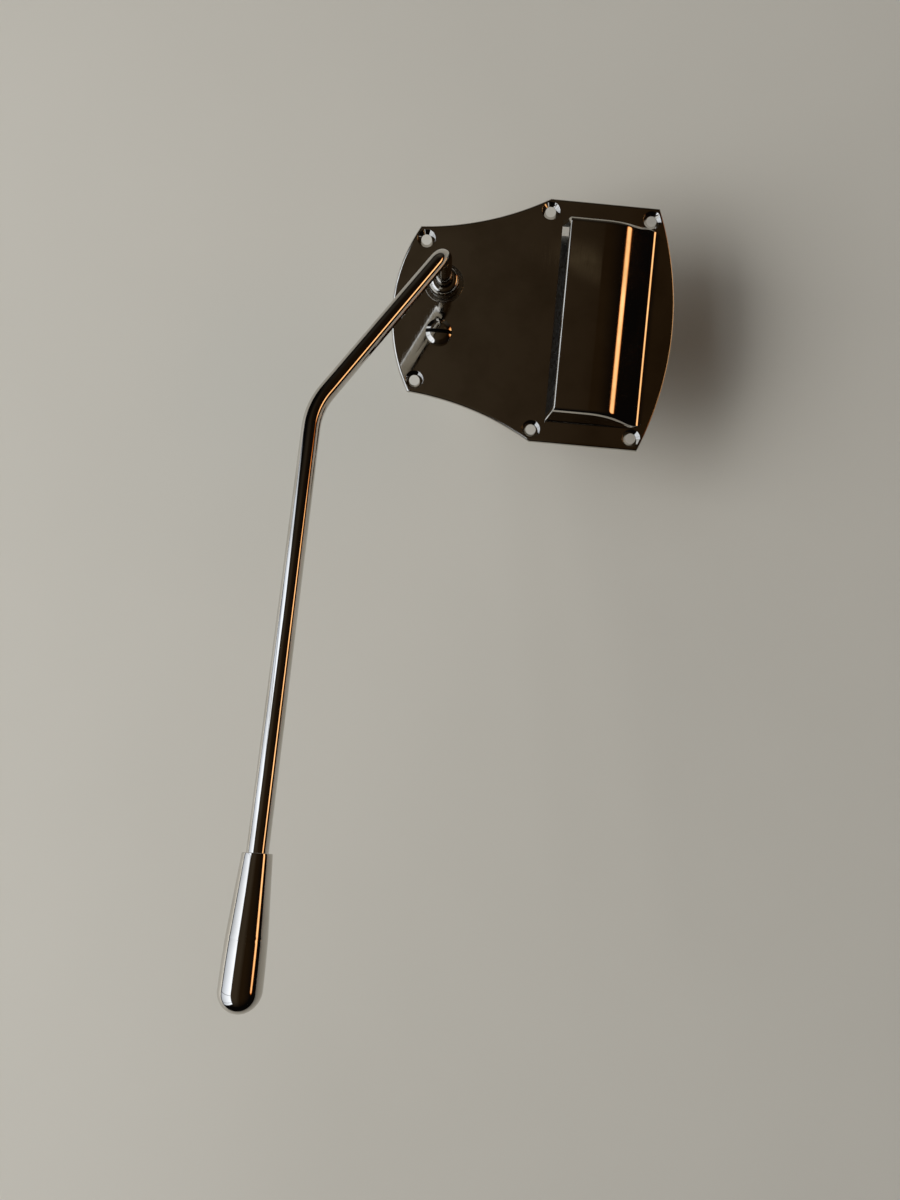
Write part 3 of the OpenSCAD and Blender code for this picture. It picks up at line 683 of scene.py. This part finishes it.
tip_grid = along_axis(revolve(tip_profile(), 96), tip_mouth, limb2)
plug = along_axis(revolve([(rod_r + 0.02, 2.0), (0.0005, 2.0)], 96), tip_mouth, limb2)
tip_piece = finish_mesh("bullet_tip", [patch(tip_grid, True), patch(plug, True)], arm_chrome, sharp=42)
install(tip_piece, "arm", "arm_tip", slot="chrome_arm")

# %% [markdown]
# ## Socket and cap
# The arm stands in a turned socket. Above the plate only its domed chrome cap shows, in a clearance
# hole that lets it tip. Below, a shoulder stops against the plate, and a washer, a split washer and a nut
# clamp the socket to the rocker.

# %% Turned socket pieces
socket_at = (socket_x, socket_y)
cap_low, cap_high = box_mm("socket_cap")
cap_r = (cap_high[0] - cap_low[0]) / 2
thread_r = 4.5


def cap_profile():
    """Skirt, wall with a fine line, rounded shoulder, slightly domed top, and a countersunk bore."""
    low, high = cap_low[2], cap_high[2]
    dome = 2.0
    outside = [(thread_r, low), (cap_r - 0.15, low), (cap_r, low + 0.15), (cap_r, low + 1.3)]
    outside += [(cap_r - 0.12, low + 1.4), (cap_r, low + 1.5), (cap_r, high - dome - 0.1)]
    shoulder = arc((cap_r - dome, high - dome), dome, 0, 84, 16)
    mouth = [(0.55, 0.02), (0.45, 0.03), (0.1, 0.35), (0.04, 0.5)]
    top = [(rod_r + out, high - down) for out, down in mouth]
    inside = [(rod_r + 0.04, low + 1.8), (thread_r, low + 1.8), (thread_r, low)]
    return np.concatenate([outside, shoulder, top, inside])


cap_piece = finish_mesh("domed_cap", [turned(cap_profile(), socket_at)], plate_chrome, sharp=35)
install(cap_piece, "rocker", "socket_cap", slot="chrome_plate")


def threaded(radius, root, z_low, z_high, pitch, steps=12, sides=48):
    """A screw thread: the radius at height z and angle a follows a triangle wave of the phase
    z / pitch - a / full turn, between root and radius; it fades out at both ends."""
    z = np.linspace(z_low, z_high, max(4, int((z_high - z_low) / pitch * steps)))[:, None]
    a = np.linspace(0, 2 * math.pi, sides, endpoint=False)[None, :]
    phase = (z / pitch - a / (2 * math.pi)) % 1.0
    wave = np.clip(1.6 - np.abs(phase - 0.5) * 4.4, 0, 1)
    fade = np.clip(np.minimum(z - z_low, z_high - z) / pitch, 0, 1)
    r = radius - (radius - root) * (1 - wave) * fade
    return np.stack([r * np.cos(a), r * np.sin(a), z + 0 * a], -1)


def socket_piece():
    """Threaded barrel with a round shoulder and a bore."""
    low, high = box_mm("socket_body")
    wide = (high[0] - low[0]) / 2
    crest = thread_r - 0.02
    shoulder_top = -0.1
    shoulder_low = box_mm("rocker_plate")[1][2]
    thread_top = shoulder_low - 3.2
    bore = rod_r + 0.84
    thread = threaded(crest, thread_r - 0.45, low[2] + 0.3, thread_top, 0.9)
    upper = [(crest, thread_top), (crest, shoulder_low), (wide - 0.3, shoulder_low)]
    upper += [(wide, shoulder_low + 0.3), (wide, shoulder_top - 0.3), (wide - 0.3, shoulder_top)]
    upper += [(thread_r + 0.3, shoulder_top), (crest, shoulder_top + 0.25), (crest, high[2])]
    upper += [(bore, high[2]), (bore, low[2])]
    lower = [(bore, low[2]), (thread_r - 0.35, low[2]), (crest, low[2] + 0.3)]
    shift = np.array([socket_x, socket_y, 0])
    parts = [turned(upper, socket_at, 48), patch(thread + shift, True), turned(lower, socket_at, 48)]
    return finish_mesh("socket_barrel", parts, dull_nickel, sharp=35)


install(socket_piece(), "rocker", "socket_body", slot="nickel_plate")


def ring_piece(name, node, inner, material, round_off, body, slot):
    """A turned ring that fills a CAD ring's box, with rounded edges."""
    low, high = box_mm(node)
    outer = (high[0] - low[0]) / 2
    centre = ((low[0] + high[0]) / 2, (low[1] + high[1]) / 2)
    corners = [(inner, low[2]), (outer, low[2]), (outer, high[2]), (inner, high[2])]
    piece = finish_mesh(name, [turned(soft_profile(corners, round_off), centre)], material, sharp=50)
    return install(piece, body, node, slot=slot)


ring_piece("nylon_sleeve", "arm_sleeve", rod_r + 0.04, nylon, 0.15, "rocker", "nylon")
ring_piece("flat_washer", "socket_washer", thread_r, zinc, 0.2, "rocker", "zinc_plate")
ring_piece("spring_seat", "upper_spring_seat", 4.0, zinc, 0.2, "rocker", "zinc_plate")


def split_washer():
    """A square-section ring cut open at a slant, its two ends sprung apart in height."""
    low, high = box_mm("socket_lock_washer")
    outer, inner = (high[0] - low[0]) / 2, thread_r
    bottom, top = low[2] + 0.1, high[2] - 0.1
    profile = soft_profile([(inner, bottom), (outer, bottom), (outer, top), (inner, top)], 0.15, 2)
    a = np.radians(np.linspace(39, 391, 90))[:, None]
    lift = np.linspace(-0.09, 0.09, 90)[:, None]
    r, h = profile[:-1, 0][None, :], profile[:-1, 1][None, :]
    grid = np.stack([socket_x + r * np.cos(a), socket_y + r * np.sin(a), h + lift + 0 * a], -1)
    points, faces = patch(grid, wrap=True)
    count = len(profile) - 1
    caps = [list(range(count)), list(range(len(points) - count, len(points)))[::-1]]
    return finish_mesh("split_washer", [(points, faces + caps)], black_steel, sharp=40)


install(split_washer(), "rocker", "socket_lock_washer", slot="hard_steel")


# %% [markdown]
# ## Nuts
# A hexagon nut is a hexagon whose corners are turned off by a cone, so each flat ends in a curved
# bow. The radius round the nut is a formula of the angle, and the height of the top edge falls where the
# radius is larger than the cone allows.


# %% Hex nuts
def hex_nut(name, node, bore, material, body, slot):
    """Radius r(a) = half flat / cos(a mod 60 - 30), corners on X; the edges drop by (r - cone) tan 30."""
    low, high = box_mm(node)
    centre = (low + high) / 2
    flat = (high[1] - low[1]) / 2
    a = np.linspace(0, 2 * math.pi, 144, endpoint=False)
    reach = flat / np.cos(a % (math.pi / 3) - math.pi / 6)
    cone = flat - 0.12
    drop = np.maximum(reach - cone, 0) * math.tan(math.radians(30))
    face = np.minimum(cone, reach)
    profile = [(bore, high[2] - 0.3), (bore, low[2] + 0.3), (bore + 0.35, low[2]), (face, low[2])]
    profile += [(reach, low[2] + drop), (reach, high[2] - drop), (face, high[2]), (bore + 0.35, high[2])]
    profile += [(bore, high[2] - 0.3)]
    rows = [
        np.stack([centre[0] + r * np.cos(a), centre[1] + r * np.sin(a), z + 0 * a], 1) for r, z in profile
    ]
    piece = finish_mesh(name, [patch(np.array(rows), True)], material, sharp=28)
    return install(piece, body, node, slot=slot)


hex_nut("clamp_nut", "socket_nut", thread_r, screw_zinc, "rocker", "zinc_screw")
hex_nut("travel_nut", "tension_nut", tension_hole_r, screw_zinc, "spring_carrier", "zinc_screw")

# %% [markdown]
# ## Tension screw
# A slotted cheese-head screw with a raised, slightly domed head. The slot is cut with a boolean, because a
# slot across a round head fits no simple grid, and a bevel breaks its edges. The thread below is
# a true helix and shows between the turns of the spring.


# %% Slotted screw
def cut(piece, cutter_patches, bevel, cut_face_material):
    """Cuts a closed shape out of a piece and bevels the new edges. The cut faces get the given material."""
    cutter = finish_mesh("cutter", cutter_patches, cut_face_material)
    boolean = piece.modifiers.new("slot", "BOOLEAN")
    boolean.object = cutter
    boolean.operation = "DIFFERENCE"
    boolean.solver = "EXACT"
    boolean.material_mode = "TRANSFER"
    edge = piece.modifiers.new("edge", "BEVEL")
    edge.width = bevel * MM
    edge.segments = 3
    edge.limit_method = "ANGLE"
    edge.angle_limit = math.radians(32)
    depsgraph = bpy.context.evaluated_depsgraph_get()
    mesh = bpy.data.meshes.new_from_object(piece.evaluated_get(depsgraph))
    piece.modifiers.clear()
    piece.data = mesh
    print(piece.name, "finishes", [m.name for m in mesh.materials])
    bpy.data.objects.remove(cutter)
    for polygon in mesh.polygons:
        polygon.use_smooth = True
    mesh.set_sharp_from_angle(angle=math.radians(35))
    return piece


def block(low, high):
    """A closed box as a patch."""
    x, y, z = np.array([low, high], float).T
    corners = np.array([(a, b, c) for a in x for b in y for c in z])
    faces = [[0, 1, 3, 2], [4, 6, 7, 5], [0, 4, 5, 1], [2, 3, 7, 6], [0, 2, 6, 4], [1, 5, 7, 3]]
    return corners, faces


def tension_screw():
    """A bevelled head with a slightly domed top, neck, thread and end: turned, with a helical stretch."""
    low, high = box_mm("tension_screw")
    head_r = (high[0] - low[0]) / 2
    under = plate_t + 0.05
    core, root, start, end = 2.5, 2.1, low[2] + 0.5, -6.0
    at = (screw_x, screw_y)
    top, flat_r, bevel_drop, dome = high[2], 0.68 * head_r, 0.95, 0.18
    head = [(core, end), (core, under), (head_r - 0.1, under), (head_r, under + 0.1)]
    head += [(head_r - back, top - bevel_drop - down) for back, down in ((0, 0.2), (0.03, 0.08), (0.12, 0))]
    head += [(flat_r + 0.14, top - dome - 0.1), (flat_r + 0.03, top - dome - 0.03)]
    head += [(r, top - dome * (r / flat_r) ** 2) for r in np.linspace(flat_r - 0.08, 0.0005, 14)]
    tail = [(0.0005, low[2]), (core - 0.5, low[2]), (core, start)]
    shift = np.array([screw_x, screw_y, 0])
    thread = patch(threaded(core, root, start, end, 0.8, 10, 96) + shift, True)
    parts = [turned(head, at, 96), thread, turned(tail, at, 96)]
    piece = finish_mesh("slotted_screw", parts, plate_chrome, sharp=35)
    slot_low = top - 1.3
    cutter = block((screw_x - 8, screw_y - 0.65, slot_low), (screw_x + 8, screw_y + 0.65, high[2] + 2))
    # The slot's cut faces get a near-black metal, which is painted shade inside the slot.
    return cut(piece, [cutter], 0.12, slot_painted_shade)


install(tension_screw(), "screw", "tension_screw", slot="chrome_plate")

# %% [markdown]
# ## Spring and its seats
# The spring is round wire on a helix with closed end turns. Both ends move: the rocker presses on the
# top, and the nut lifts the bottom. So it is made as an upper and a lower half that meet at the
# fixed middle, each with its own mesh, and both ride on the base.


# %% Spring
spring_low, spring_high = box_mm("spring")
wire_r = 0.9
spring_r = (spring_high[0] - spring_low[0]) / 2 - wire_r
spring_turns = 6.5
spring_len = spring_high[2] - spring_low[2]


def spring_height(turn):
    """Height of the wire's centre at a turn: the first and last 0.9 turns lie close, the rest climb."""
    dead = 0.9
    closed = dead * 2 * wire_r
    climb = spring_len - 2 * wire_r - 2 * closed
    middle = np.clip((turn - dead) / (spring_turns - 2 * dead), 0, 1)
    ends = np.minimum(turn / dead, 1) + np.clip((turn - spring_turns + dead) / dead, 0, 1)
    return wire_r + closed * ends + climb * middle


def spring_half(name, first, last):
    """Wire swept along the helix between two turns, with closed ends."""
    turn = np.linspace(first, last, int((last - first) * 48) + 1)
    angle = 2 * math.pi * turn
    path = np.stack([
        screw_x + spring_r * np.cos(angle), screw_y + spring_r * np.sin(angle),
        spring_low[2] + spring_height(turn),
    ], 1)
    radii = np.full(len(path), wire_r)
    tip0, tip1 = path[0] + (path[0] - path[1]) * 0.01, path[-1] + (path[-1] - path[-2]) * 0.01
    path = np.concatenate([[tip0], path, [tip1]])
    radii = np.concatenate([[0.001], radii, [0.001]])
    return finish_mesh(name, [patch(sweep(path, radii, 20), True)], drawn_wire, sharp=50)


upper_half = spring_half("spring_upper", spring_turns / 2, spring_turns)
install(upper_half, "base", "spring", slot="spring_steel")
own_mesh(upper_half)
lower_half = spring_half("spring_lower", 0, spring_turns / 2)
install(lower_half, "base", "spring", slot="spring_steel")
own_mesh(lower_half)


def spring_cup():
    """A drawn cup: floor, rim with a rolled edge, and a centre hole."""
    low, high = box_mm("lower_spring_cup")
    outer, floor = (high[0] - low[0]) / 2, 1.2
    inside, bottom = outer - 1.2, low[2] + floor
    corners = [(tension_hole_r, low[2]), (outer, low[2]), (outer, high[2])]
    corners += [(inside, high[2]), (inside, bottom), (tension_hole_r, bottom)]
    profile = soft_profile(corners, 0.45, 5)
    return finish_mesh("drawn_cup", [turned(profile, (screw_x, screw_y))], zinc, sharp=50)


install(spring_cup(), "spring_carrier", "lower_spring_cup", slot="zinc_plate")

# %% [markdown]
# ## Stamped and drilled pieces
# The bracket, the blade, the rocker and the string anchor already have the right shape in CAD. What they
# lack is the broken edge that catches the light. A merged copy of each gets a small bevel.


# %% Broken edges on CAD shapes
def broken_edges(node, name, width, material, body, slot):
    """A merged copy of a CAD node with its sharp edges bevelled by width in millimetres."""
    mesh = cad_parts[node].data.copy()
    mesh.name = name
    bm = bmesh.new()
    bm.from_mesh(mesh)
    bmesh.ops.remove_doubles(bm, verts=bm.verts, dist=1e-6)
    bmesh.ops.dissolve_limit(bm, angle_limit=math.radians(1), verts=bm.verts, edges=bm.edges)
    sharp = [e for e in bm.edges if e.is_manifold and e.calc_face_angle(0) > math.radians(30)]
    bmesh.ops.bevel(
        bm, geom=sharp, offset=width * MM, segments=3, affect="EDGES", profile=0.5, clamp_overlap=True,
    )
    for face in bm.faces:
        face.smooth = True
    bm.to_mesh(mesh)
    bm.free()
    mesh.set_sharp_from_angle(angle=math.radians(35))
    mesh.materials.clear()
    mesh.materials.append(material)
    piece = bpy.data.objects.new(name, mesh)
    bpy.context.scene.collection.objects.link(piece)
    print(f"{name}: {len(mesh.polygons)} faces")
    return install(piece, body, node, slot=slot)


broken_edges("rocker_plate", "rocker_lever", 0.3, zinc, "rocker", "zinc_plate")
broken_edges("string_anchor", "anchor_angle", 0.2, dull_nickel, "rocker", "nickel_plate")
broken_edges("anchor_screws", "anchor_pan_screws", 0.12, screw_zinc, "rocker", "zinc_screw")
broken_edges("fulcrum_bracket", "stamped_bracket", 0.25, zinc, "base", "zinc_plate")
broken_edges("fulcrum_blade", "knife_blade", 0.08, black_steel, "base", "hard_steel")
broken_edges("bracket_rivets", "flush_rivets", 0.12, black_steel, "base", "hard_steel")

# %% [markdown]
# ## Floor and light
# Chrome has no colour of its own: what it shows is the room. So the room is built with care: a pale
# floor, a tall soft window on the left, a dark brown room above, and one warm lamp low on the right,
# which draws the orange line down the hood's shoulder and along the arm. An area light gives the window's
# light and shadows. The window, the lamp and the ceiling that the chrome mirrors are painted on the
# world, where their edges can be soft and the window can have its bars. The camera sees a plain pale
# backdrop there instead.


# %% Floor
def pale_floor():
    """A matt pale table top, wide enough for every view."""
    material, tree, shader = start_material("pale_laminate", "#cdc9bc", 0.0, 0.55)
    cloud = add(tree, "TexNoise", {"Vector": on_piece(tree), "Scale": 7.0, "Detail": 3.0})
    tone = add(tree, "Mix", {0: cloud, 6: srgb("#c8c4b6"), 7: srgb("#d0ccbe")}, 2, data_type="RGBA")
    tree.links.new(tone, shader.inputs["Base Color"])
    depth = spring_low[2] - 9
    a = np.linspace(0, 2 * math.pi, 64, endpoint=False)
    points = np.stack([4 * np.cos(a), 4 * np.sin(a), 0 * a + depth * MM], 1)
    mesh = bpy.data.meshes.new("floor")
    mesh.from_pydata(points, [], [list(range(64))])
    mesh.materials.append(material)
    floor = bpy.data.objects.new("floor", mesh)
    bpy.context.scene.collection.objects.link(floor)
    return floor


floor = pale_floor()


# %% Window light
def soft_light(name, turn, climb, distance, size, power, colour):
    """A rectangular light at a direction from the plate's middle, facing it; mirrors don't show it."""
    data = bpy.data.lights.new(name, "AREA")
    data.shape = "RECTANGLE"
    data.size, data.size_y = size
    data.energy = power
    data.color = srgb(colour)[:3]
    light = bpy.data.objects.new(name, data)
    bpy.context.scene.collection.objects.link(light)
    direction = Vector(heading(turn, climb))
    light.location = direction * distance + Vector((-0.03, -0.05, 0.03))
    light.rotation_euler = direction.to_track_quat("Z", "Y").to_euler()
    light.visible_glossy = False
    return light


soft_light("window", 190, 30, 1.7, (1.3, 1.0), 27, "#fbfbff")
soft_light("room", 60, 55, 2.6, (2.2, 2.2), 3, "#f4efe8")


# %% The room that the chrome mirrors
def seen_from(tree, ray, turn, climb, width, height):
    """Where a ray crosses a flat picture that faces the object: u = ray.right / (ray.front width) and
    v = ray.up / (ray.front height), each from -1 to 1 on the picture, and front = ray.front."""
    front = heading(turn, climb)
    right = np.cross(up, front)
    right /= np.linalg.norm(right)
    parts = [add(tree, "VectorMath", {0: ray, 1: tuple(axis)}, "Value", operation="DOT_PRODUCT")
             for axis in (right / width, np.cross(front, right) / height, front)]
    ahead = add(tree, "Math", {0: parts[2], 1: 0.05}, operation="MAXIMUM")
    u, v = (add(tree, "Math", {0: part, 1: ahead}, operation="DIVIDE") for part in parts[:2])
    return u, v, parts[2]


def glow(tree, ray, turn, climb, width, height, stops, skew=0.0):
    """A soft oval: colour stops over the distance sqrt(u^2 + w^2) from its middle, with w = v + skew u, dark
    behind."""
    u, v, front = seen_from(tree, ray, turn, climb, width, height)
    v = add(tree, "Math", {0: u, 1: skew, 2: v}, operation="MULTIPLY_ADD")
    flat = add(tree, "CombineXYZ", {0: u, 1: v})
    reach = add(tree, "VectorMath", {0: flat}, "Value", operation="LENGTH")
    behind = add(tree, "Math", {0: front, 1: 0.0}, operation="LESS_THAN")
    place = add(tree, "Math", {0: reach, 1: behind}, operation="ADD")
    oval = add(tree, "ValToRGB", {0: place})
    ramp = oval.node.color_ramp
    for position, colour in stops[2:]:
        ramp.elements.new(position)
    for element, (position, colour) in zip(ramp.elements, sorted(stops)):
        element.color = srgb(colour)
    return oval


def bright(tree, colour, strength, below=None):
    """A colour times a strength, added to what is below it."""
    if below is None:
        factor = (strength,) * 3 + (1,)
        return add(tree, "Mix", {0: 1.0, 6: colour, 7: factor}, 2, data_type="RGBA", blend_type="MULTIPLY")
    scaled = bright(tree, colour, strength)
    return add(tree, "Mix", {0: 1.0, 6: below, 7: scaled}, 2, data_type="RGBA", blend_type="ADD")


def window_view(tree, ray):
    """A tall window: full inside |u| < 1 and |v| < 1 with soft edges, darker bars at thirds of its width, and
    a brightness that grows from its bottom to its top."""
    u, v, front = seen_from(tree, ray, 190, 29, 0.95, 0.55)
    side, level = (add(tree, "Math", {0: x}, operation="ABSOLUTE") for x in (u, v))
    inside = add(tree, "MapRange", {"Value": side, "From Min": 1.0, "From Max": 0.93})
    inside_v = add(tree, "MapRange", {"Value": level, "From Min": 1.0, "From Max": 0.9})
    thirds = add(tree, "Math", {0: u, 1: 1.5}, operation="MULTIPLY")
    bar = add(tree, "Math", {0: thirds}, operation="FRACT")
    panes = add(tree, "MapRange", {"Value": bar, "From Min": 0.04, "From Max": 0.1, "To Min": 0.35})
    sky = add(tree, "MapRange", {"Value": v, "From Min": -1.0, "From Max": 1.0, "To Min": 0.5, "To Max": 1.6})
    shape = add(tree, "Math", {0: front, 1: 0.05}, operation="GREATER_THAN")
    for factor in (inside, inside_v, panes, sky):
        shape = add(tree, "Math", {0: shape, 1: factor}, operation="MULTIPLY")
    return shape


def dark_room():
    """A brown ceiling that darkens to the right and downwards, with the window, the lamp, a dim patch and a
    far wall. The camera itself sees a pale backdrop."""
    world = bpy.data.worlds.new("dark_room")
    world.use_nodes = True
    tree = world.node_tree
    tree.nodes.clear()
    ray = add(tree, "TexCoord")
    across = add(tree, "SeparateXYZ", {0: ray}, "X")
    height = add(tree, "SeparateXYZ", {0: ray}, "Z")
    along = add(tree, "MapRange", {"Value": across, "From Min": -0.12, "From Max": 0.2})
    ceiling = add(tree, "Mix", {0: along, 6: srgb("#41382c"), 7: srgb("#291d10")}, 2, data_type="RGBA")
    rise = add(tree, "MapRange", {"Value": height, "From Min": 0.45, "From Max": 0.88})
    room = add(tree, "Mix", {0: rise, 6: srgb("#0b0908"), 7: ceiling}, 2, data_type="RGBA")
    window = add(tree, "CombineColor", dict.fromkeys((0, 1, 2), window_view(tree, ray)))
    tint = srgb("#e4ecf8")
    cool = add(tree, "Mix", {0: 1.0, 6: window, 7: tint}, 2, data_type="RGBA", blend_type="MULTIPLY")
    room = bright(tree, cool, 1.5, room)
    stops = [(0.0, "#ffcf94"), (1.0, "#000000"), (0.6, "#f6b878"), (0.74, "#b8601f"), (0.85, "#2c1207")]
    lamp = glow(tree, ray, 18, 20, 0.5, 0.15, stops, skew=0.9)
    room = bright(tree, lamp, 2.2, room)
    patch_light = glow(tree, ray, 70, 68, 0.05, 0.02, [(0.0, "#4d4636"), (1.0, "#000000"), (0.6, "#2c261c")])
    room = bright(tree, patch_light, 1.0, room)
    wall = glow(tree, ray, 80, 14, 0.8, 0.4, [(0.0, "#4a453d"), (1.0, "#000000"), (0.6, "#2e2a24")])
    room = bright(tree, wall, 1.0, room)
    seen = add(tree, "LightPath", output="Is Camera Ray")
    room = add(tree, "Mix", {0: seen, 6: room, 7: srgb("#a9a69e")}, 2, data_type="RGBA")
    back = add(tree, "Background", {"Color": room})
    out = tree.nodes.new("ShaderNodeOutputWorld")
    tree.links.new(back, out.inputs["Surface"])
    bpy.context.scene.world = world


dark_room()
bpy.context.scene.view_settings.view_transform = "Standard"
